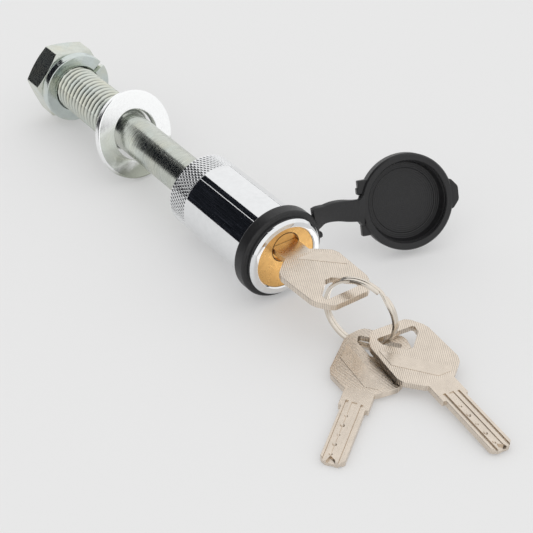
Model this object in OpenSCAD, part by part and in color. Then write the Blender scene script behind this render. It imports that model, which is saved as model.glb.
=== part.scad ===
// Locking hitch pin: a bolt with a threaded root and a plain shank, its two washers,
// a push-on key lock with a tethered dust cap, and three keys on a split ring.
// The bolt lies along +X. The origin is the centre of the bearing face under the head.

/* [Bolt] */
// Diameter of the plain shank (5/8 inch)
shank_d = 15.875; // [15.6:0.025:16]
// Diameter of the threaded root (3/4 inch)
thread_d = 19.05; // [18.8:0.05:19.1]
// Distance from one thread crest to the next (10 per inch)
thread_pitch = 2.54; // [2.4:0.02:2.6]
// Width of the hexagonal head across its flats (1 1/8 inch)
head_flats = 28.575; // [27:0.025:29]
// Height of the head
head_height = 12.2; // [10:0.1:14]
// Distance from the bearing face to the end of the shank
shank_end = 121.5; // [121:0.1:122]

/* [Washers] */
// Outer diameter of the flat washer
flat_washer_d = 36; // [34:0.5:36]
// Thickness of the flat washer
flat_washer_t = 2.6; // [2:0.1:3]
// Place of the flat washer along the bolt
flat_washer_x = 50.7; // [50.7:0.1:52]
// Outer diameter of the spring washer
spring_washer_d = 30; // [28:0.5:31]
// Thickness of the spring washer
spring_washer_t = 4.2; // [3:0.1:5]

/* [Lock] */
// Distance from the bearing face to the rear of the lock
lock_rear = 101; // [100.8:0.1:101.2]
// Diameter of the chromed housing
housing_d = 30; // [29.6:0.1:30]
// Diameter of the brass cylinder
cylinder_d = 24.2; // [24:0.1:24.2]
// Diameter of the key plug
plug_d = 11; // [10.9:0.05:11]
// Height of the plug's axis above the bolt's axis
plug_z = 4.5; // [4.4:0.1:4.6]
// Number of pin stacks
pin_count = 5; // [3:1:5]

/* [Dust cap] */
// Outer diameter of the rubber collar
collar_d = 34.9; // [34:0.1:34.9]
// Outer diameter of the cap
cap_d = 36.8; // [36:0.1:37]
// Height of the cap
cap_h = 6.6; // [6.4:0.1:7]

/* [Keys] */
// Thickness of a key
key_t = 2.3; // [2:0.1:2.3]
// Middle radius of the split ring
ring_r = 13.5; // [13.4:0.1:13.6]
// Wire of the split ring
ring_wire = 1.3; // [1:0.1:1.3]

/* [Hidden] */
$fn = 64;
clearance = 0.06;
washer_face_t = 0.6;
thread_depth = 1.3;
thread_start = 2;
thread_turns = 17;
thread_end = thread_start + thread_turns * thread_pitch;
shank_r = shank_d / 2;
head_angle = 51;
groove_x = 111.2;
groove_w = 4.4;
groove_r = 6.4;
flat_washer_tilt = [0, -20, 8];
flat_washer_hole = 20.6;
flat_washer_drop = 0.1;
spring_washer_hole = 19.9;

lock_front = 156;
knurl_w = 10.5;
knurl_count = 60;
wall_bore_r = 12.2;
rear_wall_t = 4;
collar_rear = 147.8;
collar_w = 5.7;
collar_groove_r = 14.4;
front_ring_r = 15.3;
cylinder_rear = 128.6;
cylinder_front = 155.4;
plug_rear = 127.4;
plug_front = 154;
keyway_w = 8.6;
keyway_h = 2.5;
pin_r = 1.3;
pin_first_x = 134;
pin_step = 4;
pin_hole_r = 1.38;
shear_z = plug_z - plug_d / 2;
strip_z = -10.4;
driver_h = 4.4;
cross_pin_x = 130.6;
cross_pin_r = 1.2;

carrier_rear = 105.2;
carrier_front = 122.6;
carrier_r = 12.1;
latch_x = 112.2;
latch_t = 2.4;
latch_travel = 1.4;
yoke_x = 123.4;
yoke_t = 1.8;
drive_pin_r = 1;
bridge_w = 7;
leg_spring_y = 9.2;

key_far_x = 193.6;
bow_l = 30.8;
shoulder_l = 8.7;
blade_l = 25.5;
blade_w = 8.2;
shoulder_w = 10.4;
key_l = bow_l + shoulder_l + blade_l;
ring_centre = [193.3, 4.2, -3.2];
ring_yaw = 22.3;
left_key_place = [196.6, 12.3, -14.1];
left_key_turn = [0, 1.9, -53.7];
right_key_place = [197.4, 13.4, -10.8];
right_key_turn = [-1.7, 4.3, -4.9];

cap_centre = [156.2, 56.2, 2.4];
cap_turn = [0, 65, -18];
cap_bore_r = 15.5;
cap_depth = 5;
strap_w = 8;
strap_t = 2.2;
strap_root = [150.6, 16.6, 7];
hinge_point = [150.6, 28, 4.6];
strap_end = [150.2, 39.2, 2];
hinge_gap = 1;

// A rod along +X
module rod(x, length, radius) {
    translate([x, 0, 0]) rotate([0, 90, 0]) cylinder(h = length, r = radius);
}

// A solid of revolution about the X axis, from points [x, radius]
module turned(points) {
    rotate([0, 90, 0]) rotate_extrude() polygon([for (p = points) [p[1], p[0]]]);
}

// A straight tube along +X
module tube(x, length, outer, inner) {
    turned([[x, inner], [x + length, inner], [x + length, outer], [x, outer]]);
}

// A close-to-round coil spring that stands on z = 0
module coil(radius, wire, turns, height) {
    sides = 5;
    steps = 8 * turns;
    rise = height - wire;
    points = [for (i = [0:steps]) let (a = 360 * turns * i / steps)
        for (j = [0:sides - 1]) let (b = 360 * j / sides)
            [(radius + wire / 2 * cos(b)) * cos(a),
             (radius + wire / 2 * cos(b)) * sin(a),
             wire / 2 + rise * i / steps + wire / 2 * sin(b)]];
    sleeve = [for (i = [0:steps - 1]) for (j = [0:sides - 1])
        let (a = i * sides + j, b = i * sides + (j + 1) % sides)
            [a, a + sides, b + sides, b]];
    first = [for (j = [0:sides - 1]) j];
    last = [for (j = [sides - 1:-1:0]) steps * sides + j];
    polyhedron(points, concat(sleeve, [first], [last]), convexity = 6);
}

// Bolt: chamfered hexagonal head, ridged thread, shank with a latch groove
module head_blank() {
    intersection() {
        translate([-head_height, 0, 0]) rotate([head_angle, 0, 0]) rotate([0, 90, 0])
            rotate(90) cylinder(h = head_height - washer_face_t,
                d = head_flats / cos(30), $fn = 6);
        turned([[-head_height, 0], [-head_height, head_flats / 2 - 0.6],
            [-head_height + 1.6, head_flats / 2 + 2.4], [-1.2, head_flats / 2 + 2.4],
            [-washer_face_t, head_flats / 2 + 1.6], [-washer_face_t, 0]]);
    }
}

module hitch_bolt() {
    r = thread_d / 2;
    crest = thread_pitch / 8;
    ridges = [for (i = [0:thread_turns - 1]) let (x = thread_start + i * thread_pitch)
        each [[x + crest, r], [x + thread_pitch / 2, r - thread_depth],
              [x + thread_pitch - crest, r]]];
    color("silver") {
        head_blank();
        turned(concat(
            [[-head_height / 2, 0], [-head_height / 2, head_flats / 2 - 0.9],
             [-washer_face_t / 3, head_flats / 2 - 0.9], [0, head_flats / 2 - 1.1],
             [0, r], [thread_start, r]],
            ridges,
            [[thread_end, r], [thread_end + 1.4, shank_r], [groove_x, shank_r],
             [groove_x + 0.6, groove_r], [groove_x + groove_w - 0.6, groove_r],
             [groove_x + groove_w, shank_r], [shank_end - 1.6, shank_r],
             [shank_end, shank_r - 1.6], [shank_end, 0]]));
    }
}

// Washers
module spring_washer() {
    color("gainsboro") difference() {
        tube(0.3, spring_washer_t, spring_washer_d / 2, spring_washer_hole / 2);
        rotate([-60, 0, 0]) translate([-1, 0, 0]) rotate([0, 0, -20])
            translate([0, -0.9, 0]) cube([8, 1.8, 20]);
    }
}

module flat_washer() {
    edge = 0.3;
    outer = flat_washer_d / 2;
    half = flat_washer_t / 2;
    color("gainsboro") translate([flat_washer_x, 0, -flat_washer_drop]) rotate(flat_washer_tilt) turned([
        [-half, flat_washer_hole / 2], [half, flat_washer_hole / 2],
        [half, outer - edge], [half - edge, outer], [edge - half, outer],
        [-half, outer - edge]]);
}

// Lock housing: chromed sleeve, ribbed grip at the rear, bevelled ring at the front
module lock_housing() {
    r = housing_d / 2;
    valley_r = r - 0.6;
    teeth = [for (i = [0:2 * knurl_count - 1]) let (a = 180 * i / knurl_count)
        (i % 2 == 0 ? r - 0.1 : valley_r) * [cos(a), sin(a)]];
    color("lightgray") difference() {
        union() {
            turned([[lock_rear, 10.5], [lock_rear, r - 1.2],
                [lock_rear + 0.4, r - 0.8], [lock_rear + knurl_w, r - 0.8],
                [lock_rear + knurl_w + 0.8, r],
                [collar_rear - 0.1, r], [collar_rear - 0.1, collar_groove_r],
                [collar_rear + collar_w + 0.1, collar_groove_r],
                [collar_rear + collar_w + 0.1, front_ring_r],
                [lock_front - 0.9, front_ring_r], [lock_front, front_ring_r - 0.9],
                [lock_front, wall_bore_r], [lock_rear + rear_wall_t, wall_bore_r],
                [lock_rear + rear_wall_t, 10.5]]);
            turned([[lock_rear, shank_r + 0.4], [lock_rear, 11],
                [lock_rear + rear_wall_t, 11],
                [lock_rear + rear_wall_t, shank_r + 0.4],
                [lock_rear + 3.1, shank_r + 0.4], [lock_rear + 3.1, 9.9],
                [lock_rear + 1.1, 9.9], [lock_rear + 1.1, shank_r + 0.4]]);
            difference() {
                translate([lock_rear + 0.6, 0, 0]) rotate([0, 90, 0])
                    linear_extrude(knurl_w - 0.9) polygon(teeth);
                rod(lock_rear, knurl_w + 2, r - 1.4);
            }
        }
        translate([cross_pin_x, 0, -20])
            cylinder(h = 12, r = cross_pin_r + clearance);
    }
}

module rear_seal() {
    color("black") translate([lock_rear + 2.1, 0, 0]) rotate([0, 90, 0])
        rotate_extrude() translate([8.9, 0]) circle(r = 0.88);
}

// Latch carrier: guides the shank and the latch plate
module latch_carrier() {
    color("darkgray") difference() {
        tube(carrier_rear, carrier_front - carrier_rear, carrier_r, shank_r + 0.08);
        translate([latch_x - 0.15, -12, -9.5])
            cube([latch_t + 0.3, 24, 25]);
        translate([latch_x, -bridge_w / 2 - 0.3, 6])
            cube([20, bridge_w + 0.6, 8]);
    }
}

// Latch plate: arched plate over the shank, joined by a bridge to the slotted yoke
module latch_plate() {
    color("slategray") {
        difference() {
            intersection() {
                rod(latch_x, latch_t, 11.8);
                translate([latch_x, -11.2, -2]) cube([latch_t, 22.4, 14]);
            }
            translate([latch_x - 1, 0, 0.1]) rotate([0, 90, 0])
                cylinder(h = latch_t + 2, r = 8.15);
            translate([latch_x - 1, -8.15, -5]) cube([latch_t + 2, 16.3, 5.1]);
        }
        translate([latch_x + latch_t - 0.1, -bridge_w / 2, 9.5])
            cube([yoke_x - latch_x - latch_t + 0.2, bridge_w, 2]);
        difference() {
            translate([yoke_x, -bridge_w / 2, 3]) cube([yoke_t, bridge_w, 8.5]);
            translate([yoke_x - 1, -2.8, plug_z + latch_travel - drive_pin_r - 0.4])
                cube([yoke_t + 2, 5.6, 2 * drive_pin_r + 0.8]);
        }
    }
}

module latch_springs() {
    color("silver") for (side = [-1, 1])
        translate([latch_x + latch_t / 2, side * leg_spring_y, -6.2])
            coil(0.8, 0.4, 4, 2.75);
}

// Brass cylinder with the off-centre plug and its pins below the keyway
module cylinder_body() {
    color("goldenrod") difference() {
        rod(cylinder_rear, cylinder_front - cylinder_rear, cylinder_d / 2);
        translate([0, 0, plug_z])
            rod(cylinder_rear - 1, 40, plug_d / 2 + clearance);
        for (i = [0:pin_count - 1])
            translate([pin_first_x + i * pin_step, 0, strip_z - 0.2])
                cylinder(h = 12, r = pin_hole_r);
        translate([pin_first_x - 1.9, -2, strip_z - 4])
            cube([pin_step * (pin_count - 1) + 4.1, 4, 4]);
        translate([cross_pin_x, 0, -20])
            cylinder(h = 11.6, r = cross_pin_r + clearance);
    }
}

module cylinder_plug() {
    color("khaki") difference() {
        translate([0, 0, plug_z]) {
            difference() {
                rod(plug_rear, plug_front - plug_rear, plug_d / 2);
                tube(cylinder_rear - 0.9, 0.8, plug_d, plug_d / 2 - 0.8);
            }
        }
        translate([plug_rear + 1, -keyway_w / 2, plug_z - keyway_h / 2])
            cube([40, keyway_w, keyway_h]);
        for (i = [0:pin_count - 1])
            translate([pin_first_x + i * pin_step, 0, shear_z - 1])
                cylinder(h = plug_d / 2, r = pin_hole_r);
    }
}

module plug_clip() {
    color("dimgray") translate([0, 0, plug_z]) difference() {
        tube(cylinder_rear - 0.85, 0.7, plug_d / 2 + 1, plug_d / 2 - 0.7);
        translate([cylinder_rear - 2, -2, -9]) cube([4, 4, 6]);
    }
}

module drive_cam() {
    color("dimgray") {
        translate([0, 0, plug_z]) rod(plug_rear - 1.3, 1.3, 3.6);
        translate([0, 0, plug_z + latch_travel]) rod(yoke_x - 0.2, 3.4, drive_pin_r);
    }
}

module key_pins() {
    color("gold") for (i = [0:pin_count - 1])
        translate([pin_first_x + i * pin_step, 0, 0]) {
            translate([0, 0, shear_z + 0.2]) cylinder(h = 3.9, r = pin_r);
            translate([0, 0, shear_z + 4.1]) cylinder(h = 0.6, r1 = pin_r, r2 = 0.8);
        }
}

module driver_pins() {
    color("silver") for (i = [0:pin_count - 1])
        translate([pin_first_x + i * pin_step, 0, shear_z - 0.15 - driver_h])
            cylinder(h = driver_h, r = pin_r);
}

module pin_springs() {
    spring_h = shear_z - 0.15 - driver_h - strip_z - 0.1;
    color("silver") for (i = [0:pin_count - 1])
        translate([pin_first_x + i * pin_step, 0, strip_z + 0.05])
            coil(0.95, 0.35, 4, spring_h);
}

module chamber_strip() {
    color("goldenrod") intersection() {
        translate([pin_first_x - 1.8, -1.95, strip_z - 4])
            cube([pin_step * (pin_count - 1) + 3.9, 3.9, 3.95]);
        rod(cylinder_rear, 40, cylinder_d / 2);
    }
}

module cross_pin() {
    color("silver") translate([cross_pin_x, 0, -14.9])
        cylinder(h = 6.3, r = cross_pin_r);
}

// Rubber collar, tether and cap: one moulding on the real lock
module cap_collar() {
    r = collar_d / 2;
    color("dimgray") {
        turned([[collar_rear, collar_groove_r + 0.05],
            [collar_rear + collar_w, collar_groove_r + 0.05],
            [collar_rear + collar_w, r - 0.7], [collar_rear + collar_w - 0.7, r],
            [collar_rear + 0.7, r], [collar_rear, r - 0.7]]);
        translate([collar_rear + 3.4, r - 0.6, 0]) rotate([-90, 0, 0])
            cylinder(h = 2.6, r = 1.3);
    }
}

module strap_piece(from, to, from_w, to_w) {
    run = to - from;
    drop = atan2(run[2], run[1]);
    length = norm(run);
    translate(from) rotate([drop, 0, 0]) rotate([0, 90, 0])
        translate([0, 0, -strap_t / 2]) linear_extrude(strap_t)
            polygon([[-from_w / 2, 0], [from_w / 2, 0],
                [to_w / 2, length], [-to_w / 2, length]]);
}

module cap_tether() {
    run = hinge_point - strap_root;
    stop = strap_root + run * (1 - hinge_gap / norm(run));
    color("dimgray") difference() {
        strap_piece(strap_root, stop, strap_w + 1, strap_w);
        rod(collar_rear - 5, 20, collar_d / 2 + 0.01);
    }
}

module dust_cap() {
    r = cap_d / 2;
    run = strap_end - hinge_point;
    start = hinge_point + run * (hinge_gap / norm(run));
    color("dimgray") {
        difference() {
            union() {
                translate(cap_centre) rotate(cap_turn) {
                    rotate_extrude() polygon([[0, -cap_h], [r - 1.8, -cap_h],
                        [r - 0.5, 1.2 - cap_h], [r, 2.4 - cap_h], [r, -0.6],
                        [r - 0.6, 0], [0, 0]]);
                    translate([0, r - 1.6, -cap_h + 1.5]) cylinder(h = 3.2, r = 4.6);
                }
                strap_piece(start, strap_end, strap_w, strap_w);
            }
            translate(cap_centre) rotate(cap_turn) {
                translate([0, 0, -cap_depth]) cylinder(h = 20, r = cap_bore_r);
            }
        }
    }
}

// Key: pierced bow, wide shoulder and grooved blade. Far edge of the bow at x = 0.
module key_blank() {
    half = key_t / 2;
    difference() {
        union() {
            translate([0, 0, -half]) linear_extrude(key_t) difference() {
                polygon([[0, -6.8], [1.2, -8.6], [5.2, -11.4], [7.4, -12.1],
                    [23.6, -12.6], [26.2, -11.6], [bow_l, -6.2], [bow_l + 1, 0],
                    [bow_l, 6.2], [26.2, 11.6], [23.6, 12.6], [7.4, 12.1],
                    [5.2, 11.4], [1.2, 8.6], [0, 6.8]]);
                polygon([[4.2, -7.2], [4.8, -7.8], [7.6, -7.4], [13.4, -1.2],
                    [13.4, 1.2], [7.6, 7.4], [4.8, 7.8], [4.2, 7.2]]);
            }
            translate([bow_l - 0.5, -shoulder_w / 2, -half])
                cube([shoulder_l + 0.5, shoulder_w, key_t]);
            translate([0, 0, -half]) linear_extrude(key_t)
                polygon([[bow_l, -blade_w / 2], [key_l - 1.6, -blade_w / 2],
                    [key_l, -blade_w / 2 + 1.6], [key_l, blade_w / 2 - 1.6],
                    [key_l - 1.6, blade_w / 2], [bow_l, blade_w / 2]]);
        }
        for (side = [-1, 1])
            translate([bow_l + shoulder_l - 4, -1.5, side * half - 0.5])
                cube([blade_l + 10, 3, 1]);
    }
}

module lock_key() {
    color("tan") translate([key_far_x, 0, plug_z]) rotate([0, 0, 180]) key_blank();
}

module left_spare_key() {
    color("tan") translate(left_key_place) rotate(left_key_turn) key_blank();
}

module right_spare_key() {
    color("tan") translate(right_key_place) rotate(right_key_turn) key_blank();
}

module split_ring() {
    w = ring_wire / 2;
    color("silver") translate(ring_centre) rotate([90, 0, ring_yaw])
        rotate_extrude() translate([ring_r, 0]) {
            translate([0, w]) circle(r = w);
            translate([0, -w]) circle(r = w);
            square([2 * w, 2 * w], center = true);
        }
}

hitch_bolt();
spring_washer();
flat_washer();
lock_housing();
rear_seal();
latch_carrier();
latch_plate();
latch_springs();
cylinder_body();
cylinder_plug();
plug_clip();
drive_cam();
key_pins();
driver_pins();
pin_springs();
chamber_strip();
cross_pin();
cap_collar();
cap_tether();
dust_cap();
lock_key();
split_ring();
left_spare_key();
right_spare_key();
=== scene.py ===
"""Looks for the locking hitch pin: bolt, washers, key lock, rubber dust cap and keys.

Lengths in the builders below are millimetres. They are scaled to metres when a mesh is made.
"""

import math

import bmesh
import bpy
import numpy as np
from mathutils import Matrix, Vector


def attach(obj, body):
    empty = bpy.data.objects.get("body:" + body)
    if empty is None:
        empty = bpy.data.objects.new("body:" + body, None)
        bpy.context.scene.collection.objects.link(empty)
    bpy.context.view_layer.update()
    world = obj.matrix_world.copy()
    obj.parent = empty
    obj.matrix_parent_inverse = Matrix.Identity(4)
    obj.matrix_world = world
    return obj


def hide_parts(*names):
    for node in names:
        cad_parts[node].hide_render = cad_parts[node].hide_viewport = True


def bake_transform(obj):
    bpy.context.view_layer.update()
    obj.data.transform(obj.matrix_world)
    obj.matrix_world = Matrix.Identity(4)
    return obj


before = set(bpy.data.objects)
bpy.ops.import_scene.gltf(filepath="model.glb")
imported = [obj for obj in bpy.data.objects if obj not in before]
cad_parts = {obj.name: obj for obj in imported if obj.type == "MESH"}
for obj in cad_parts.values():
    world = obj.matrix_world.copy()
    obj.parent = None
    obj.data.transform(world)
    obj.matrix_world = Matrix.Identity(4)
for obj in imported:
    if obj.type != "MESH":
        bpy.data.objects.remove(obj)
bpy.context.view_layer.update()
MM = 0.001
scene = bpy.context.scene
scene.view_settings.view_transform = "Standard"

FLOOR_Z = -17.5
SHANK_R = 15.875 / 2
THREAD_R = 19.05 / 2
THREAD_PITCH = 2.54
THREAD_DEPTH = 1.3
THREAD_RUNOUT = (42.8, 46.6)
HEAD_FLATS = 28.575
HEAD_TOP = -12.2
HEAD_ANGLE = 51
PLUG_Z = 4.5
CAP_CENTRE = (156.2, 56.2, 2.4)
CAP_TURN = (0, 65, -18)
RING_CENTRE = (193.3, 4.2, -3.2)
RING_YAW = 22.3
RING_RADIUS = 13.5
WIRE_OFFSET = 0.655
WASHER_PLACE = (50.7, 0, -0.1)
WASHER_TURN = (0, -20, 8)
KEY_HALF = 1.15
RULED_PITCH = 0.64
MERGE_DISTANCE = 2e-6
KEY_PLACES = {
    "lock_key": ((193.6, 0, PLUG_Z), (0, 0, 180)),
    "left_spare_key": ((196.6, 12.3, -14.1), (0, 1.9, -53.7)),
    "right_spare_key": ((197.4, 13.4, -10.8), (-1.7, 4.3, -4.9)),
}


# ---------------------------------------------------------------- camera

def place_camera():
    camera = bpy.data.objects.new("camera", bpy.data.cameras.new("camera"))
    camera.data.lens = 94.56
    camera.data.sensor_width = 36
    camera.data.clip_start = 0.01
    camera.data.clip_end = 20
    camera.location = (0.48164, -0.24022, 0.29419)
    camera.rotation_euler = (math.radians(53.63), 0, math.radians(54.6))
    scene.collection.objects.link(camera)
    scene.camera = camera


place_camera()


# ---------------------------------------------------------------- mesh helpers

def turn_matrix(angles):
    """Turns about X, then Y, then Z, in degrees, as a 3 by 3 array."""
    x, y, z = (math.radians(a) for a in angles)
    m = Matrix.Rotation(z, 3, "Z") @ Matrix.Rotation(y, 3, "Y") @ Matrix.Rotation(x, 3, "X")
    return np.array(m)


def place(obj, position, angles=(0, 0, 0)):
    """Moves a mesh built about its own origin to a position in millimetres."""
    turned = Matrix(turn_matrix(angles).tolist()).to_4x4()
    obj.data.transform(Matrix.Translation(Vector(position) * MM) @ turned)
    obj.data.update()
    return obj


def remember_local(obj):
    """Keeps a mesh's own coordinates in an attribute, for a pattern that moves with it."""
    coordinates = np.empty(len(obj.data.vertices) * 3, np.float32)
    obj.data.vertices.foreach_get("co", coordinates)
    attribute = obj.data.attributes.new("local", "FLOAT_VECTOR", "POINT")
    attribute.data.foreach_set("vector", coordinates)


def tidy_normals(mesh, sharp):
    """Joins doubled points, turns faces outward, and marks edges above the sharp angle."""
    bm = bmesh.new()
    bm.from_mesh(mesh)
    bmesh.ops.remove_doubles(bm, verts=bm.verts, dist=MERGE_DISTANCE)
    bmesh.ops.dissolve_degenerate(bm, edges=bm.edges, dist=MERGE_DISTANCE / 2)
    bmesh.ops.recalc_face_normals(bm, faces=bm.faces)
    bm.to_mesh(mesh)
    bm.free()
    mesh.polygons.foreach_set("use_smooth", [True] * len(mesh.polygons))
    mesh.set_sharp_from_angle(angle=math.radians(sharp))


def add_mesh(name, verts, faces, sharp=32):
    mesh = bpy.data.meshes.new(name)
    mesh.from_pydata((np.asarray(verts, float) * MM).tolist(), [], faces)
    tidy_normals(mesh, sharp)
    obj = bpy.data.objects.new(name, mesh)
    scene.collection.objects.link(obj)
    return obj


def ring_faces(rows, cols, loop=False):
    """Quads between rows of points, where each row closes on itself."""
    faces = []
    for i in range(rows if loop else rows - 1):
        a = i * cols
        b = ((i + 1) % rows) * cols
        for j in range(cols):
            k = (j + 1) % cols
            faces.append((a + j, a + k, b + k, b + j))
    return faces


def rounded(points, radius=0.3, steps=4, loop=True):
    """A polyline with its corners rounded. A third number in a point is its own radius."""
    out = []
    for i, point in enumerate(points):
        here = np.array(point[:2], float)
        size = point[2] if len(point) > 2 else radius
        if size == 0 or (not loop and i in (0, len(points) - 1)):
            out.append(here)
            continue
        back = np.array(points[i - 1][:2], float) - here
        ahead = np.array(points[(i + 1) % len(points)][:2], float) - here
        long_back = np.linalg.norm(back)
        long_ahead = np.linalg.norm(ahead)
        cosine = np.clip(back @ ahead / (long_back * long_ahead), -0.9999, 0.9999)
        reach = size / math.tan(math.acos(cosine) / 2)
        reach = min(reach, 0.47 * long_back, 0.47 * long_ahead)
        first = here + back / long_back * reach
        last = here + ahead / long_ahead * reach
        for k in range(steps + 1):
            t = k / steps
            out.append((1 - t) ** 2 * first + 2 * t * (1 - t) * here + t * t * last)
    return [(float(p[0]), float(p[1])) for p in out]


def lathe(name, profile, cols=128, loop=True, shape=None, sharp=32):
    """A turned piece about X from (x, radius) points. shape(x, r, theta) may move them."""
    points = np.array(profile, float)
    theta = np.linspace(0, 2 * np.pi, cols, endpoint=False)[None, :]
    x = points[:, 0:1] + 0 * theta
    r = points[:, 1:2] + 0 * theta
    if shape is not None:
        x, r = shape(x, r, theta)
    verts = np.stack([x, r * np.cos(theta), r * np.sin(theta)], axis=-1).reshape(-1, 3)
    return add_mesh(name, verts, ring_faces(len(points), cols, loop), sharp)


def sweep(name, centres, side_axes, up_axes, sections, sharp=32):
    """A closed tube through centres, whose sections are (n, m, 2) in the two axes."""
    centres = np.asarray(centres, float)
    sections = np.asarray(sections, float)
    rows, cols = sections.shape[:2]
    verts = (centres[:, None, :] + sections[:, :, 0:1] * np.asarray(side_axes)[:, None, :]
             + sections[:, :, 1:2] * np.asarray(up_axes)[:, None, :]).reshape(-1, 3)
    faces = ring_faces(rows, cols)
    faces.append(tuple(reversed(range(cols))))
    faces.append(tuple(range((rows - 1) * cols, rows * cols)))
    return add_mesh(name, verts, faces, sharp)


def prism(name, outline, low, high):
    """An outline in XY raised from low to high."""
    n = len(outline)
    verts = [(x, y, low) for x, y in outline] + [(x, y, high) for x, y in outline]
    faces = ring_faces(2, n)
    faces.append(tuple(reversed(range(n))))
    faces.append(tuple(range(n, 2 * n)))
    return add_mesh(name, verts, faces)


def bake_modifiers(obj, sharp=32):
    """Gives obj its own mesh with the modifiers applied."""
    graph = bpy.context.evaluated_depsgraph_get()
    mesh = bpy.data.meshes.new_from_object(obj.evaluated_get(graph))
    old = obj.data
    obj.modifiers.clear()
    obj.data = mesh
    bpy.data.meshes.remove(old)
    tidy_normals(mesh, sharp)
    return obj


def combine(target, cutter, operation, sharp=32):
    """A boolean on target, after which the cutter is gone."""
    modifier = target.modifiers.new("combine", "BOOLEAN")
    modifier.operation = operation
    modifier.solver = "EXACT"
    modifier.object = cutter
    bpy.context.view_layer.update()
    bake_modifiers(target, sharp)
    bpy.data.objects.remove(cutter)
    return target


def join_meshes(name, objects):
    """One object from several whose shells don't meet."""
    bm = bmesh.new()
    for obj in objects:
        bm.from_mesh(obj.data)
        bpy.data.objects.remove(obj)
    mesh = bpy.data.meshes.new(name)
    bm.to_mesh(mesh)
    bm.free()
    tidy_normals(mesh, 32)
    joined = bpy.data.objects.new(name, mesh)
    scene.collection.objects.link(joined)
    return joined


def bevel(obj, width, segments=3, angle=40):
    """Rounds the edges of obj that are sharper than angle degrees."""
    modifier = obj.modifiers.new("bevel", "BEVEL")
    modifier.width = width * MM
    modifier.segments = segments
    modifier.limit_method = "ANGLE"
    modifier.angle_limit = math.radians(angle)
    bpy.context.view_layer.update()
    return bake_modifiers(obj)


def ramp(x, low, high):
    """0 below low, 1 above high, and smooth between them."""
    t = np.clip((np.asarray(x, float) - low) / (high - low), 0, 1)
    return t * t * (3 - 2 * t)


def mirrored(points):
    """An outline's lower half, followed by its mirror about the X axis."""
    return list(points) + [(p[0], -p[1], *p[2:]) for p in reversed(points)]


# ---------------------------------------------------------------- materials

class Nodes:
    """Small helper for a node tree, in which Object coordinates are turned into millimetres."""

    def __init__(self, name):
        self.material = bpy.data.materials.new(name)
        self.material.use_nodes = True
        self.tree = self.material.node_tree
        self.shader = self.tree.nodes["Principled BSDF"]
        coordinate = self.add("ShaderNodeTexCoord")
        self.mm = self.vector("MULTIPLY", coordinate.outputs["Object"], (1000, 1000, 1000))

    def add(self, kind, **settings):
        node = self.tree.nodes.new(kind)
        for key, value in settings.items():
            setattr(node, key, value)
        return node

    def link(self, source, socket):
        self.tree.links.new(source, socket)

    def vector(self, operation, source, values):
        node = self.add("ShaderNodeVectorMath", operation=operation)
        self.link(source, node.inputs[0])
        node.inputs[1].default_value = values
        return node.outputs[0]

    def noise(self, source, scale, detail=3.0, rough=0.5):
        node = self.add("ShaderNodeTexNoise")
        self.link(source, node.inputs["Vector"])
        node.inputs["Scale"].default_value = scale
        node.inputs["Detail"].default_value = detail
        node.inputs["Roughness"].default_value = rough
        return node.outputs["Fac"]

    def stretched(self, frequency, detail=2.0):
        """Noise with its own frequency, per millimetre, along each axis."""
        return self.noise(self.vector("MULTIPLY", self.mm, frequency), 1.0, detail)

    def radial(self, centre, frequency, around=0.15):
        """Noise in rings about an axis along X through centre (y, z)."""
        moved = self.vector("SUBTRACT", self.mm, (0, *centre))
        flat = self.vector("MULTIPLY", moved, (0, 1, 1))
        scaled = self.math("MULTIPLY", self.distance(flat), frequency)
        slow = self.vector("MULTIPLY", self.mm, (0, around, around))
        joined = self.add("ShaderNodeVectorMath", operation="ADD")
        self.link(scaled, joined.inputs[0])
        self.link(slow, joined.inputs[1])
        return self.noise(joined.outputs[0], 1.0, 2.0)

    def part(self, source, axis):
        """One number of a vector."""
        node = self.add("ShaderNodeSeparateXYZ")
        self.link(source, node.inputs[0])
        return node.outputs[axis]

    def math(self, operation, first, second=0.0):
        node = self.add("ShaderNodeMath", operation=operation)
        for socket, value in zip(node.inputs, (first, second)):
            if isinstance(value, (int, float)):
                socket.default_value = value
            else:
                self.link(value, socket)
        return node.outputs[0]

    def distance(self, source):
        """The length of a vector."""
        node = self.add("ShaderNodeVectorMath", operation="LENGTH")
        self.link(source, node.inputs[0])
        return node.outputs["Value"]

    def mapped(self, source, low, high, start=0.3, end=0.7):
        """Turns source's range from start to end into low to high, held at both ends."""
        node = self.add("ShaderNodeMapRange")
        self.link(source, node.inputs["Value"])
        node.inputs["From Min"].default_value = start
        node.inputs["From Max"].default_value = end
        node.inputs["To Min"].default_value = low
        node.inputs["To Max"].default_value = high
        return node.outputs["Result"]

    def mix(self, factor, first, second):
        node = self.add("ShaderNodeMix", data_type="RGBA")
        self.link(factor, node.inputs["Factor"])
        for socket, value in ((node.inputs["A"], first), (node.inputs["B"], second)):
            if isinstance(value, tuple):
                socket.default_value = (*value, 1)
            else:
                self.link(value, socket)
        return node.outputs["Result"]

    def bump(self, height, distance):
        """Adds a bump of distance millimetres on top of those already there."""
        node = self.add("ShaderNodeBump")
        node.inputs["Strength"].default_value = 1.0
        node.inputs["Distance"].default_value = distance * MM
        self.link(height, node.inputs["Height"])
        under = self.shader.inputs["Normal"]
        if under.is_linked:
            self.link(under.links[0].from_socket, node.inputs["Normal"])
        self.link(node.outputs["Normal"], under)

    def colour(self, value):
        self.link(value, self.shader.inputs["Base Color"])

    def set(self, socket, value):
        """Gives one of the shader's sockets a number or a link."""
        if isinstance(value, (int, float)):
            self.shader.inputs[socket].default_value = value
        else:
            self.link(value, self.shader.inputs[socket])


def shaded(colour, factor):
    return tuple(c * factor for c in colour)


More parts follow.
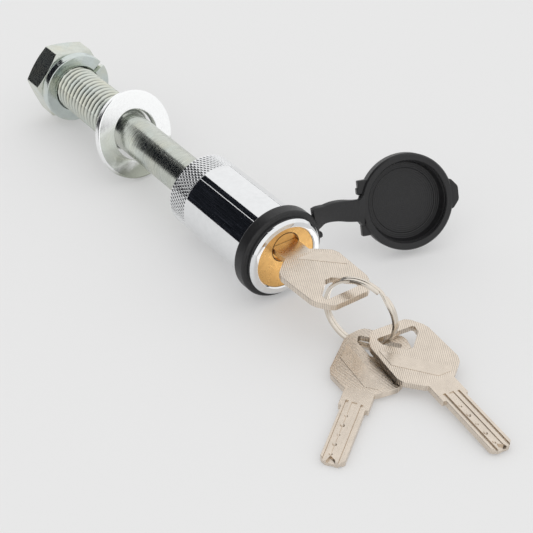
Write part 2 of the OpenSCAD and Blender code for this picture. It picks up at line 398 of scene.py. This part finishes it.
def zinc_base(n, colour, tint):
    """Pale plate colour with faint yellow and blue patches."""
    base = n.mix(n.mapped(n.noise(n.mm, 0.35, 4), 0, 1), shaded(colour, 0.9), colour)
    yellow = n.mapped(n.noise(n.mm, 0.11, 2), 0, tint, 0.45, 0.75)
    blue = n.mapped(n.noise(n.vector("ADD", n.mm, (40, 9, 17)), 0.13, 2), 0, tint, 0.5, 0.75)
    base = n.mix(yellow, base, (0.72, 0.68, 0.50))
    return n.mix(blue, base, (0.58, 0.68, 0.70))


def zinc(name, colour, roughness, turned=0.006, tint=0.35):
    """Bright zinc plate with turning marks."""
    n = Nodes(name)
    n.set("Metallic", 1.0)
    n.colour(zinc_base(n, colour, tint))
    spread = n.noise(n.mm, 1.2, 4)
    n.set("Roughness", n.mapped(spread, roughness * 0.75, roughness * 1.3))
    n.bump(n.stretched((5.0, 0.25, 0.25), 3), turned)
    return n.material


def bolt_plate(name, colour, roughness):
    """Zinc plate on the bolt, with painted shade at the roots of the thread, and streaked round
    the shank.
    """
    n = Nodes(name)
    n.set("Metallic", 1.0)
    along = n.part(n.mm, "X")
    shank = n.mapped(along, 0, 1, 44.0, 48.0)
    streaks = n.math("MULTIPLY", n.mapped(n.stretched((1.7, 0.12, 0.12), 4), 0, 1), shank)
    base = n.mix(streaks, zinc_base(n, colour, 0.4), shaded(colour, 0.72))
    radius = n.distance(n.vector("MULTIPLY", n.mm, (0, 1, 1)))
    # The roots of the thread are painted near black as painted shade between the crests. The ends,
    # where there is no thread, are kept out of it.
    crest = n.mapped(radius, 0, 1, THREAD_R - 1.1, THREAD_R - 0.4)
    ends = n.math("ADD", n.mapped(along, 0, 1, 46.0, 47.0), n.mapped(along, 1, 0, -0.5, 0.5))
    outside_root_shade = n.math("MAXIMUM", crest, ends)
    n.colour(n.mix(outside_root_shade, (0.03, 0.035, 0.03), base))
    spread = n.mapped(n.math("ADD", streaks, shank), roughness * 0.45, roughness * 1.15, 0, 2)
    n.set("Roughness", n.math("ADD", spread, n.mapped(along, 0.15, 0, -1, 1)))
    n.bump(streaks, 0.03)
    n.bump(n.noise(n.mm, 1.5, 3), 0.012)
    return n.material


def washer_plate(name, bright, painted_shade_colour):
    """Polished washer, with painted shade on its lower part, so that it is brighter towards its
    top.
    """
    n = Nodes(name)
    n.set("Metallic", 1.0)
    height = n.math("ADD", n.part(n.mm, "Z"), n.mapped(n.noise(n.mm, 0.16, 3), -3, 3))
    # Painted shade: the colour turns dark below the top, with a ragged edge from the noise.
    n.colour(n.mix(n.mapped(height, 0, 1, -11.5, -5.5), painted_shade_colour, bright))
    n.set("Roughness", n.mapped(n.noise(n.mm, 1.2, 4), 0.14, 0.24))
    n.bump(n.noise(n.mm, 0.6, 2), 0.004)
    return n.material


def polished(name, colour, roughness, waviness=0.004):
    """Chrome or nickel plate, almost a mirror, with a slight unevenness."""
    n = Nodes(name)
    n.set("Metallic", 1.0)
    n.colour(n.mix(n.mapped(n.noise(n.mm, 0.5, 3), 0, 1), shaded(colour, 0.95), colour))
    n.set("Roughness", n.mapped(n.noise(n.mm, 1.6, 5, 0.65), roughness * 0.6, roughness * 1.6))
    n.bump(n.noise(n.mm, 0.5, 2), waviness)
    return n.material


def turned_metal(name, colour, roughness, centre=(0, 0), depth=0.006):
    """Machined metal with fine rings on its end faces."""
    n = Nodes(name)
    n.set("Metallic", 1.0)
    n.colour(n.mix(n.mapped(n.noise(n.mm, 0.4, 4), 0, 1), shaded(colour, 0.88), colour))
    n.set("Roughness", n.mapped(n.noise(n.mm, 1.0, 4), roughness * 0.8, roughness * 1.25))
    n.bump(n.radial(centre, 4.0), depth)
    n.bump(n.stretched((6.0, 0.3, 0.3), 2), depth)
    return n.material


def nickel_silver(name, colour, roughness):
    """Key metal: satin, with a fine ruling across the bow and slight tarnish."""
    n = Nodes(name)
    n.set("Metallic", 1.0)
    own = n.add("ShaderNodeAttribute", attribute_name="local")
    n.mm = n.vector("MULTIPLY", own.outputs["Vector"], (1000, 1000, 1000))
    across = n.math("ADD", n.part(n.mm, "X"), n.part(n.mm, "Y"))
    wave = n.math("SINE", n.math("MULTIPLY", across, 2 * math.pi / (RULED_PITCH * math.sqrt(2))))
    bow = n.mapped(n.part(n.mm, "X"), 1, 0, 29.5, 31.0)
    height = n.math("ABSOLUTE", n.part(n.mm, "Z"))
    plain = n.mapped(height, 1, 0, KEY_HALF + 0.02, KEY_HALF + 0.06)
    rule = n.math("MULTIPLY", n.math("MULTIPLY", wave, 0.5), n.math("MULTIPLY", bow, plain))
    tarnish = n.mapped(n.noise(n.mm, 0.3, 4), 0, 1)
    base = n.mix(tarnish, shaded(colour, 0.88), colour)
    base = n.mix(n.mapped(n.noise(n.mm, 1.2, 4), 0, 0.2, 0.5, 0.8), base, shaded(colour, 0.75))
    # Painted shade: the ruling's troughs are painted darker than its ridges.
    n.colour(n.mix(n.mapped(rule, 0.6, 0, -0.5, 0.3), base, shaded(colour, 0.42)))
    n.set("Roughness", n.mapped(n.noise(n.mm, 2.0, 4), roughness * 0.8, roughness * 1.2))
    n.bump(rule, 0.05)
    n.bump(n.stretched((0.4, 7.0, 7.0), 3), 0.006)
    n.bump(n.noise(n.mm, 3.0, 4), 0.006)
    return n.material


def rubber(name, colour, roughness, grain=0.03):
    """Moulded black rubber with a soft grain and paler scuffs."""
    n = Nodes(name)
    scuff = n.mapped(n.noise(n.mm, 0.8, 6, 0.7), 0, 0.5, 0.5, 0.8)
    n.colour(n.mix(scuff, colour, tuple(c * 1.7 + 0.006 for c in colour)))
    n.set("Roughness", n.mapped(n.noise(n.mm, 1.5, 5), roughness * 0.85, roughness * 1.2))
    n.set("Specular IOR Level", 0.42)
    n.bump(n.noise(n.mm, 3.5, 4, 0.6), grain)
    n.bump(n.noise(n.mm, 0.35, 2), grain * 1.5)
    return n.material


ZINC = bolt_plate("zinc_plate", (0.68, 0.71, 0.65), 0.27)
SPRING_PLATE = zinc("spring_washer_plate", (0.66, 0.72, 0.70), 0.17, turned=0.004, tint=0.4)
# The washer's second colour is painted shade for its lower part.
WASHER = washer_plate("washer_plate", (0.97, 0.98, 0.98), (0.40, 0.42, 0.36))
CHROME = polished("chrome", (0.84, 0.85, 0.86), 0.045)
RING_NICKEL = polished("ring_nickel", (0.76, 0.70, 0.62), 0.09)
BRASS = turned_metal("brass", (0.84, 0.50, 0.18), 0.3)
PLUG_BRASS = turned_metal("plug_brass", (0.88, 0.53, 0.19), 0.34, (0, PLUG_Z))
# Near-black brass: painted shade for the ring round the plug.
SEAM_SHADE = turned_metal("seam_painted_shade", (0.14, 0.08, 0.04), 0.5)
PIN_BRASS = turned_metal("pin_brass", (0.80, 0.60, 0.30), 0.25)
INNER_STEEL = turned_metal("inner_steel", (0.50, 0.51, 0.53), 0.3)
SPRING_STEEL = turned_metal("spring_steel", (0.55, 0.56, 0.58), 0.25)
NICKEL = nickel_silver("nickel_silver", (0.88, 0.78, 0.67), 0.3)
RUBBER = rubber("rubber", (0.012, 0.012, 0.013), 0.40)
SEAL = rubber("seal_rubber", (0.022, 0.022, 0.022), 0.35, 0.006)


def finish_piece(obj, material, body, slot, *nodes):
    """Gives a piece its material, flat-face shading and body, and hides the nodes it replaces. The
    slot is not used.
    """
    obj.data.materials.clear()
    obj.data.materials.append(material)
    normals = obj.modifiers.new("normals", "WEIGHTED_NORMAL")
    normals.keep_sharp = True
    normals.weight = 100
    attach(obj, body)
    if nodes:
        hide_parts(*nodes)


# ---------------------------------------------------------------- bolt

def hex_columns():
    """Angles round the head in radians, with a close pair on each side of a corner."""
    sector = [0, 0.5, 1.1] + [2.5 * k for k in range(1, 24)] + [58.9, 59.5]
    degrees = [HEAD_ANGLE + 60 * k + a for k in range(6) for a in sector]
    return np.radians(np.array(degrees))


def hex_radius(theta):
    """Distance from the axis to the hexagon, whose corners are slightly cut."""
    across = (np.degrees(theta) - HEAD_ANGLE) % 60 - 30
    radius = HEAD_FLATS / 2 / np.cos(np.radians(across))
    return np.minimum(radius, HEAD_FLATS / 2 / math.cos(math.radians(30)) - 0.14)


def thread_radius(x, theta):
    """A right-hand thread that fades out into the shank."""
    phase = (x / THREAD_PITCH - theta / (2 * np.pi)) % 1
    crest = np.clip((np.abs(2 * phase - 1) - 0.10) / 0.76, 0, 1)
    depth = THREAD_DEPTH * ramp(x, 0.4, 2.4) * (1 - ramp(x, *THREAD_RUNOUT))
    body = THREAD_R - (THREAD_R - SHANK_R) * np.clip((x - 45.2) / 1.5, 0, 1)
    return body - depth * (1 - crest)


def build_bolt():
    theta = hex_columns()
    hexagon = hex_radius(theta)
    face_r = 13.7
    seat_r = 14.0
    seat_x = -0.6
    rings = []

    def ring(x, r):
        rings.append((x + 0 * theta, r + 0 * theta))

    top_x = HEAD_TOP + (hexagon - face_r) * 0.533
    low_x = seat_x - np.maximum(hexagon - seat_r, 0) * 0.42
    ring(HEAD_TOP, 0)
    for r in (4, 8, 12, face_r - 0.35):
        ring(HEAD_TOP, r)
    ring(HEAD_TOP + 0.04, face_r - 0.1)
    ring(HEAD_TOP + 0.14, face_r + 0.12)
    ring(top_x - 0.05, hexagon - 0.12)
    ring(top_x + 0.06, hexagon - 0.03)
    ring(top_x + 0.22, hexagon)
    for t in (0.35, 0.65):
        ring(top_x * (1 - t) + low_x * t, hexagon)
    ring(low_x - 0.2, hexagon)
    ring(low_x - 0.06, hexagon - 0.03)
    ring(low_x + 0.03, hexagon - 0.13)
    ring(seat_x, seat_r - 0.1)
    lip = rounded([(seat_x, 13.75), (seat_x, 13.3, 0.2), (0, 13.15, 0.15), (0, THREAD_R)],
                  loop=False)
    for x, r in lip:
        ring(x, r)
    for x in np.arange(0.12, 47.0, THREAD_PITCH / 16):
        ring(x, thread_radius(x, theta))
    tail = rounded([(47.2, SHANK_R), (111.2, SHANK_R, 0.15), (111.8, 6.4, 0.4),
                    (115.0, 6.4, 0.4), (115.6, SHANK_R, 0.15), (119.9, SHANK_R, 0.5),
                    (121.5, SHANK_R - 1.6, 0.4), (121.5, 0)], loop=False)
    for x, r in tail:
        ring(x, r)
    x = np.array([a for a, _ in rings])
    r = np.array([b for _, b in rings])
    verts = np.stack([x, r * np.cos(theta), r * np.sin(theta)], axis=-1).reshape(-1, 3)
    return add_mesh("bolt", verts, ring_faces(len(rings), len(theta)), 38)


finish_piece(build_bolt(), ZINC, "bolt", "zinc_steel", "hitch_bolt")


# ---------------------------------------------------------------- washers

def build_spring_washer():
    """A split washer whose ends stand a little apart."""
    middle = 2.42
    half = 2.0
    slit = math.radians(30)
    inner, outer = 10.0, 15.0
    section = np.array(rounded([(-half, inner, 0.5), (half, inner, 0.35),
                                (half, outer, 0.6), (-half, outer, 0.8)], steps=5))
    gap = 0.075
    angles = np.linspace(slit + gap, slit + 2 * np.pi - gap, 150)
    lean = math.tan(math.radians(20)) / 12.5
    verts = []
    for i, angle in enumerate(angles):
        shift = 0.22 * (i / (len(angles) - 1) - 0.5) * 2
        for x, r in section:
            a = angle + lean * x
            verts.append((middle + shift * 0.5 + x, r * math.cos(a), r * math.sin(a)))
    cols = len(section)
    faces = ring_faces(len(angles), cols)
    faces.append(tuple(reversed(range(cols))))
    faces.append(tuple(range((len(angles) - 1) * cols, len(angles) * cols)))
    return add_mesh("split_washer", verts, faces, 35)


def build_flat_washer():
    """A plain washer that leans on the thread."""
    half = 1.3
    inner, outer = 10.3, 18.0
    profile = rounded([(-half, inner, 0.15), (half, inner, 0.35), (half, outer, 0.55),
                       (-half, outer, 0.25)], steps=5)
    washer = lathe("plain_washer", profile, cols=180)
    turned = turn_matrix(WASHER_TURN)
    shift = np.array(WASHER_PLACE)
    for v in washer.data.vertices:
        v.co = Vector((turned @ np.array(v.co) + shift * MM).tolist())
    washer.data.update()
    return washer


finish_piece(build_spring_washer(), SPRING_PLATE, "spring_washer", "washer_steel", "spring_washer")
finish_piece(build_flat_washer(), WASHER, "flat_washer", "washer_steel", "flat_washer")


# ---------------------------------------------------------------- lock housing

KNURL_LINES = 64
KNURL_CELL = 12
KNURL_COLS = KNURL_LINES * KNURL_CELL
KNURL_STEP = 0.2
KNURL_DEPTH = 0.26
KNURL_START, KNURL_END = 102.0, 111.2
GRIP_R = 14.95


def knurled(x, r, theta):
    """Cuts a diamond pattern into the grip's band."""
    along = (x - KNURL_START) / (KNURL_STEP * KNURL_CELL)
    around = KNURL_LINES * theta / (2 * np.pi)
    one = 1 - np.abs(2 * ((around + along) % 1) - 1)
    two = 1 - np.abs(2 * ((around - along) % 1) - 1)
    height = np.clip(np.minimum(one, two) / 0.42, 0, 1)
    band = ramp(x, KNURL_START - 0.3, KNURL_START + 0.3)
    band = band * (1 - ramp(x, KNURL_END - 0.3, KNURL_END + 0.3)) * (r > 14)
    return x, r - KNURL_DEPTH * (1 - height) * band


def build_housing():
    """The chromed shell, from its rear bore round the outside to the front ring and back."""
    rear = rounded([(101.0, 8.35, 0.1), (101.0, 14.2, 0.35), (101.7, GRIP_R, 0.2),
                    (102.0, GRIP_R, 0)], loop=False)[1:]
    grip = [(x, GRIP_R) for x in np.arange(KNURL_START, KNURL_END + 0.4, KNURL_STEP)]
    front = rounded([(111.62, GRIP_R, 0), (111.75, 15.0, 0.05), (147.6, 15.0, 0.15),
                     (147.6, 14.42, 0), (153.6, 14.42, 0), (153.6, 15.3, 0.25),
                     (155.1, 15.3, 0.5), (156.0, 14.35, 0.35), (156.0, 12.6, 0.15),
                     (155.55, 12.2, 0.15), (105.0, 12.2, 0), (105.0, 8.35, 0)],
                    loop=False, steps=5)
    first = [(101.0, 8.35)]
    return lathe("lock_shell", first + rear + grip + front, cols=KNURL_COLS, shape=knurled,
                 sharp=35)


finish_piece(build_housing(), CHROME, "lock_head", "chrome", "lock_housing")


# ---------------------------------------------------------------- rubber collar, strap and cap

def build_collar():
    """The collar, with the small nub on its side below the strap."""
    profile = rounded([(147.85, 14.5, 0.2), (153.45, 14.5, 0.5), (153.45, 16.9, 1.0),
                       (152.7, 17.45, 0.7), (148.5, 17.45, 0.7), (147.85, 16.9, 0.6)], steps=5)
    collar = lathe("rubber_collar", profile, cols=160)
    nub = rounded([(0, 0), (0, 1.3, 0.1), (1.9, 1.35, 0.6), (2.35, 0.6, 0.3), (2.35, 0)],
                  loop=False)
    stub = lathe("stub", nub, cols=32, loop=False)
    for v in stub.data.vertices:
        x, y, z = v.co
        v.co = Vector((0.1512 + y, 0.01705 + x, z))
    return combine(collar, stub, "UNION")


def build_strap():
    """The strap arches from the collar's rim to the side of the cap."""
    path = np.array([(150.6, 15.9, 7.3), (150.7, 19.5, 7.9), (150.75, 23.5, 7.8),
                     (150.6, 28.0, 6.5), (150.4, 32.5, 4.5), (150.1, 36.5, 2.9),
                     (149.9, 39.6, 1.9)])
    steps = 56
    t = np.linspace(0, len(path) - 1, steps)
    padded = np.vstack([2 * path[0] - path[1], path, 2 * path[-1] - path[-2]])
    centres = []
    for value in t:
        i = min(int(value), len(path) - 2)
        f = value - i
        a, b, c, d = padded[i:i + 4]
        centres.append(0.5 * (2 * b + (c - a) * f + (2 * a - 5 * b + 4 * c - d) * f ** 2
                              + (3 * b - a - 3 * c + d) * f ** 3))
    centres = np.array(centres)
    along = np.gradient(centres, axis=0)
    along /= np.linalg.norm(along, axis=1)[:, None]
    share = ramp(np.linspace(0, 1, steps), 0.15, 1.0)[:, None]
    cap_normal = turn_matrix(CAP_TURN) @ np.array([0, 0, 1.0])
    normal = (1 - share) * np.array([1.0, 0, 0]) + share * cap_normal
    wide = np.cross(normal, along)
    wide /= np.linalg.norm(wide, axis=1)[:, None]
    normal = np.cross(along, wide)
    s = np.linspace(0, 1, steps)
    width = 7.6 + 0.8 * s + 2.2 * (1 - ramp(s, 0.05, 0.22)) + 3.4 * ramp(s, 0.86, 1.0)
    h = 1.1
    sections = []
    for w in width:
        sections.append(rounded([(-w / 2, -h, 0.5), (w / 2, -h, 0.5), (w / 2, h, 0.5),
                                 (-w / 2, h, 0.5)], steps=4))
    return sweep("cap_strap", centres, wide, normal, sections, 40)


def build_cap():
    """The cap about its own axis Z, with its mouth at z = 0."""
    outer = 18.4
    depth = 5.0
    shell = rounded([(0, -6.6), (16.6, -6.6, 0.6), (17.9, -5.4, 0.8), (outer, -4.2, 0.6),
                     (outer, -0.7, 0.4), (17.8, 0, 0.35), (15.9, 0, 0.25), (15.5, -0.5, 0.25),
                     (15.5, -1.4, 0.15), (15.15, -1.75, 0.15), (15.3, -2.3, 0.2),
                     (14.5, -depth, 0.5), (13.9, -depth, 0)], loop=False, steps=4)
    profile = [(z, r) for r, z in shell]
    for r in np.arange(13.8, 0.1, -0.1):
        swell = 0.035 * math.sin(2 * math.pi * r / 0.8)
        groove = 0.10 * math.exp(-((r - 12.6) / 0.25) ** 2)
        profile.append((-depth + swell - groove, r))
    profile.append((-depth, 0))
    cap = lathe("rubber_cap", profile, cols=144, loop=False, sharp=40)
    swap_x_and_z = Matrix(((0, 0, 1), (0, 1, 0), (1, 0, 0)))
    for v in cap.data.vertices:
        v.co = swap_x_and_z @ v.co
    tidy_normals(cap.data, 40)
    tab_outline = rounded([(-6.2, 15.9, 0.5), (6.2, 15.9, 0.5), (5.6, 18.6, 1.6),
                           (2.6, 21.1, 2.2), (-2.6, 21.1, 2.2), (-5.6, 18.6, 1.6)], steps=6)
    tab = bevel(prism("tab", tab_outline, -5.0, -1.2), 0.8, 4)
    combine(cap, tab, "UNION", 40)
    for x, y, w, h in ((-9.2, -16.6, 1.7, 2.0), (-6.9, -17.6, 1.3, 1.6), (8.0, -17.0, 2.2, 1.9)):
        outline = [(x - w, y - h), (x + w, y - h), (x + w, y + h), (x - w, y + h)]
        lug = bevel(prism("lug", outline, -3.4, -0.9), 0.45, 3)
        combine(cap, lug, "UNION", 40)
    return place(cap, CAP_CENTRE, CAP_TURN)


finish_piece(build_collar(), RUBBER, "lock_head", "rubber", "cap_collar")
strap = build_strap()
strap.data.materials.append(RUBBER)
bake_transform(strap)
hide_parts("cap_tether")
finish_piece(build_cap(), RUBBER, "cap", "rubber", "dust_cap")


# ---------------------------------------------------------------- keys

BOW = [(0, -6.8, 1.2), (1.2, -8.6, 1.0), (5.2, -11.4, 1.5), (7.4, -12.1, 1.5),
       (23.6, -12.6, 2.0), (26.2, -11.6, 1.5), (30.8, -6.2, 0.8)]
BLADE = [(31.2, -5.2, 0.4), (39.5, -5.2, 0.3), (39.5, -4.1, 0.2), (63.4, -4.1, 0.4),
         (65.0, -2.5, 0.4)]
DIMPLE_FIRST = 43.7
DIMPLE_PITCH = 4.5
DIMPLE_Y = -1.1
PANEL_RAISE = 0.16
PANEL_EDGE = [(1.8, -6.4), (6.6, -10.3), (23.2, -10.9), (28.9, -5.8)]
BOW_HOLE = [(4.2, -7.2, 0.4), (4.8, -7.8, 0.4), (7.6, -7.4, 0.8), (13.4, -1.2, 0.6)]


def offset_outline(points, distance):
    """An outline moved inward by distance, or outward where it is negative."""
    pts = np.array(points, float)
    back = pts - np.roll(pts, 1, axis=0)
    ahead = np.roll(pts, -1, axis=0) - pts
    normals = []
    for edge in (back, ahead):
        unit = edge / np.maximum(np.linalg.norm(edge, axis=1), 1e-9)[:, None]
        normals.append(np.stack([-unit[:, 1], unit[:, 0]], axis=1))
    joint = normals[0] + normals[1]
    joint /= np.maximum(np.linalg.norm(joint, axis=1), 1e-9)[:, None]
    stretch = np.maximum((joint * normals[0]).sum(1), 0.5)
    return [tuple(p) for p in pts + joint * (distance / stretch)[:, None]]


def diagonal(name, centre, long, wide, low, high):
    """A block at 45 degrees across the bow."""
    u = np.array([math.sqrt(0.5), math.sqrt(0.5)])
    v = np.array([-u[1], u[0]])
    corners = [centre + a * long / 2 * u + b * wide / 2 * v
               for a, b in ((-1, -1), (1, -1), (1, 1), (-1, 1))]
    return prism(name, [tuple(c) for c in corners], low, high)


def groove_bar(name, y, wide, deep, start, end, side):
    """A cutter for a long groove with sloped walls."""
    top = KEY_HALF + 0.3
    floor = KEY_HALF - deep
    spread = wide / 2 + 0.12
    section = [(y - spread, top), (y + spread, top), (y + wide / 2 - 0.1, floor),
               (y - wide / 2 + 0.1, floor)]
    verts = [(x, a, side * b) for x in (start, end) for a, b in section]
    faces = ring_faces(2, 4) + [(3, 2, 1, 0), (4, 5, 6, 7)]
    return add_mesh(name, verts, faces)


def build_key(name, band_shift, groove_start=36.6, middle_wide=1.9, middle_deep=0.32):
    """A key whose raised band lies on y = x + band_shift, with three grooves on each face."""
    outline = rounded(mirrored(BOW + BLADE), steps=5)
    hole = rounded(mirrored(BOW_HOLE), steps=5)
    key = prism(name, outline, -KEY_HALF, KEY_HALF)
    combine(key, prism("hole", hole, -3, 3), "DIFFERENCE")
    bevel(key, 0.34, 3, 50)
    grooves = []
    for side in (-1, 1):
        grooves.append(groove_bar("g", -2.75 * side, 1.0, 0.55, groove_start, 70, side))
        grooves.append(groove_bar("g", -0.15 * side, middle_wide, middle_deep, groove_start + 0.4,
                                  70, side))
        grooves.append(groove_bar("g", 2.55 * side, 0.8, 0.5, groove_start + 0.8, 70, side))
    combine(key, join_meshes("grooves", grooves), "DIFFERENCE", 20)
    dimples = []
    for side in (-1, 1):
        for k, depth in enumerate((0.35, 0.6, 0.3, 0.55, 0.4)):
            bottom = KEY_HALF - 0.32 - depth
            profile = [(bottom, 0), (bottom, 0.25),
                       (KEY_HALF + 0.3, 0.25 + 0.8 * (depth + 0.6)), (KEY_HALF + 0.3, 0)]
            cone = lathe("dimple", profile, cols=20, loop=False)
            for v in cone.data.vertices:
                x, y, z = v.co
                v.co = Vector(((DIMPLE_FIRST + DIMPLE_PITCH * k) * MM + y,
                               DIMPLE_Y * side * MM + z, side * x))
            dimples.append(cone)
    combine(key, join_meshes("dimples", dimples), "DIFFERENCE", 20)
    notch = [(62.3, -0.9), (65.5, -2.0), (65.5, 1.4), (63.8, 0.9)]
    combine(key, prism("notch", notch, 0.1, 3), "DIFFERENCE", 20)
    panel = prism("panel", mirrored(PANEL_EDGE), -KEY_HALF - PANEL_RAISE,
                  KEY_HALF + PANEL_RAISE)
    combine(panel, prism("panel_gap", offset_outline(hole, -1.0), -3, 3), "DIFFERENCE")
    band_centre = np.array([8.0 - band_shift / 2, 8.0 + band_shift / 2])
    combine(panel, diagonal("panel_band", band_centre, 60, 5.8, -3, 3), "INTERSECT")
    bevel(panel, 0.12, 2)
    key = join_meshes(name, [key, panel])
    remember_local(key)
    return key


spare = build_key("left_spare", -24.0)
twin = bpy.data.objects.new("right_spare", spare.data.copy())
scene.collection.objects.link(twin)
fitted = build_key("fitted_key", -31.0, 40.0, 3.5, 0.54)
for piece, node, body in ((fitted, "lock_key", "key_in_lock"),
                          (spare, "left_spare_key", "left_key"),
                          (twin, "right_spare_key", "right_key")):
    place(piece, *KEY_PLACES[node])
    finish_piece(piece, NICKEL, body, "nickel", node)


# ---------------------------------------------------------------- plug seam

# A thin flat dark ring, painted as the shade in the gap round the plug.
seam = lathe("plug_seam", [(155.36, 5.58), (155.36, 5.95), (155.43, 5.95), (155.43, 5.58)],
             cols=96)
place(seam, (0, 0, PLUG_Z))
finish_piece(seam, SEAM_SHADE, "lock_head", "brass")


# ---------------------------------------------------------------- split ring

def build_ring():
    """Two turns of wire side by side, which cross over next to the wire's ends."""
    steps = 320
    phi = np.radians(np.linspace(60, 50 + 720, steps))
    yaw = math.radians(RING_YAW)
    across = np.array([math.cos(yaw), math.sin(yaw), 0])
    axis = np.array([-math.sin(yaw), math.cos(yaw), 0])
    up = np.array([0, 0, 1.0])
    out = np.cos(phi)[:, None] * across + np.sin(phi)[:, None] * up
    shift = WIRE_OFFSET * (2 * ramp(np.degrees(phi), 398, 421) - 1)
    centres = np.array(RING_CENTRE) + RING_RADIUS * out + shift[:, None] * axis
    section = rounded([(-0.64, -0.63, 0.34), (0.64, -0.63, 0.34), (0.64, 0.63, 0.34),
                       (-0.64, 0.63, 0.34)], steps=5)
    taper = np.ones(steps)
    taper[[0, -1]] = 0.72
    taper[[1, -2]] = 0.93
    sections = [[(a * k, b * k) for a, b in section] for k in taper]
    axes = np.repeat(axis[None, :], steps, axis=0)
    return sweep("key_ring_wire", centres, out, axes, sections, 50)


finish_piece(build_ring(), RING_NICKEL, "key_ring", "ring_nickel", "split_ring")


# ---------------------------------------------------------------- carried-over nodes

NODE_LOOKS = {
    "cylinder_body": BRASS, "chamber_strip": BRASS, "cylinder_plug": PLUG_BRASS,
    "key_pins": PIN_BRASS, "rear_seal": SEAL, "latch_carrier": INNER_STEEL,
    "latch_plate": INNER_STEEL, "plug_clip": INNER_STEEL, "drive_cam": INNER_STEEL,
    "driver_pins": INNER_STEEL, "cross_pin": INNER_STEEL, "latch_springs": SPRING_STEEL,
    "pin_springs": SPRING_STEEL,
}
for node, look in NODE_LOOKS.items():
    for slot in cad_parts[node].material_slots:
        slot.material = look


# ---------------------------------------------------------------- stage

# Lengths in this section are metres.

def stage_material(name, colour, emission):
    """Matt paint that also glows, as a fraction of its colour."""
    n = Nodes(name)
    n.colour(n.mix(n.noise(n.mm, 0.01, 2), shaded(colour, 0.995), colour))
    n.set("Roughness", 0.6)
    n.set("Specular IOR Level", 0.0)
    n.shader.inputs["Emission Color"].default_value = (*colour, 1)
    n.set("Emission Strength", emission)
    return n.material


def dark_cloth(name, deep, pale):
    """Dark cloth with paler flecks, which the chrome shows as mottling."""
    n = Nodes(name)
    flecks = n.mapped(n.stretched((0.06, 0.02, 0.02), 6), 0, 1, 0.5, 0.8)
    n.colour(n.mix(flecks, deep, pale))
    n.set("Roughness", 0.8)
    n.set("Specular IOR Level", 0.0)
    return n.material


def stage_sheet(name, corners, material, glossy_only=False):
    """A flat sheet. One that is glossy_only is seen in reflections and nowhere else."""
    mesh = bpy.data.meshes.new(name)
    mesh.from_pydata([tuple(c) for c in corners], [], [tuple(range(len(corners)))])
    sheet = bpy.data.objects.new(name, mesh)
    scene.collection.objects.link(sheet)
    mesh.materials.append(material)
    if glossy_only:
        sheet.visible_camera = False
        sheet.visible_diffuse = False
        sheet.visible_shadow = False
        sheet.visible_transmission = False
        sheet.visible_volume_scatter = False


def card(name, start, end):
    """A dark card from one angle to another about the bolt's axis, 0 is +Y and 90 is up."""
    x_low, x_high = CARD_ENDS
    lines = []
    for angle in np.radians(np.linspace(start, end, CARD_FACETS + 1)):
        lines.append((CARD_RADIUS * math.cos(angle), CARD_RADIUS * math.sin(angle)))
    for k in range(CARD_FACETS):
        (y0, z0), (y1, z1) = lines[k], lines[k + 1]
        corners = [(x_low, y0, z0), (x_high, y0, z0), (x_high, y1, z1), (x_low, y1, z1)]
        stage_sheet(f"{name}_{k}", corners, DARK, True)


def rectangle(x_low, x_high, y_low, y_high, z):
    return [(x_low, y_low, z), (x_high, y_low, z), (x_high, y_high, z), (x_low, y_high, z)]


FLOOR_HALF = 6
FLOOR_LEVEL = FLOOR_Z * MM
CARD_RADIUS = 1.6
CARD_ENDS = (-4.0, 0.35)
CARD_FACETS = 8
FLOOR = stage_material("floor_paint", (0.54, 0.54, 0.54), 0.5)
DARK = dark_cloth("dark_card", (0.006, 0.007, 0.009), (0.07, 0.075, 0.095))
FILL = stage_material("fill_card", (1.0, 1.0, 1.0), 0.4)
stage_sheet("floor", rectangle(-FLOOR_HALF, FLOOR_HALF, -FLOOR_HALF, FLOOR_HALF, FLOOR_LEVEL),
            FLOOR)
card("dark_card_top", 92, 107.6)
card("dark_card_side", 109.2, 181)
card("dark_strip", 3.0, 4.3)
stage_sheet("fill_card", rectangle(0.06, 0.185, 0.004, 0.034, FLOOR_LEVEL + 0.0002), FILL, True)

world = bpy.data.worlds.new("studio")
scene.world = world
world.use_nodes = True
background = world.node_tree.nodes["Background"]
background.inputs["Color"].default_value = (1, 1, 1, 1)
background.inputs["Strength"].default_value = 1.0
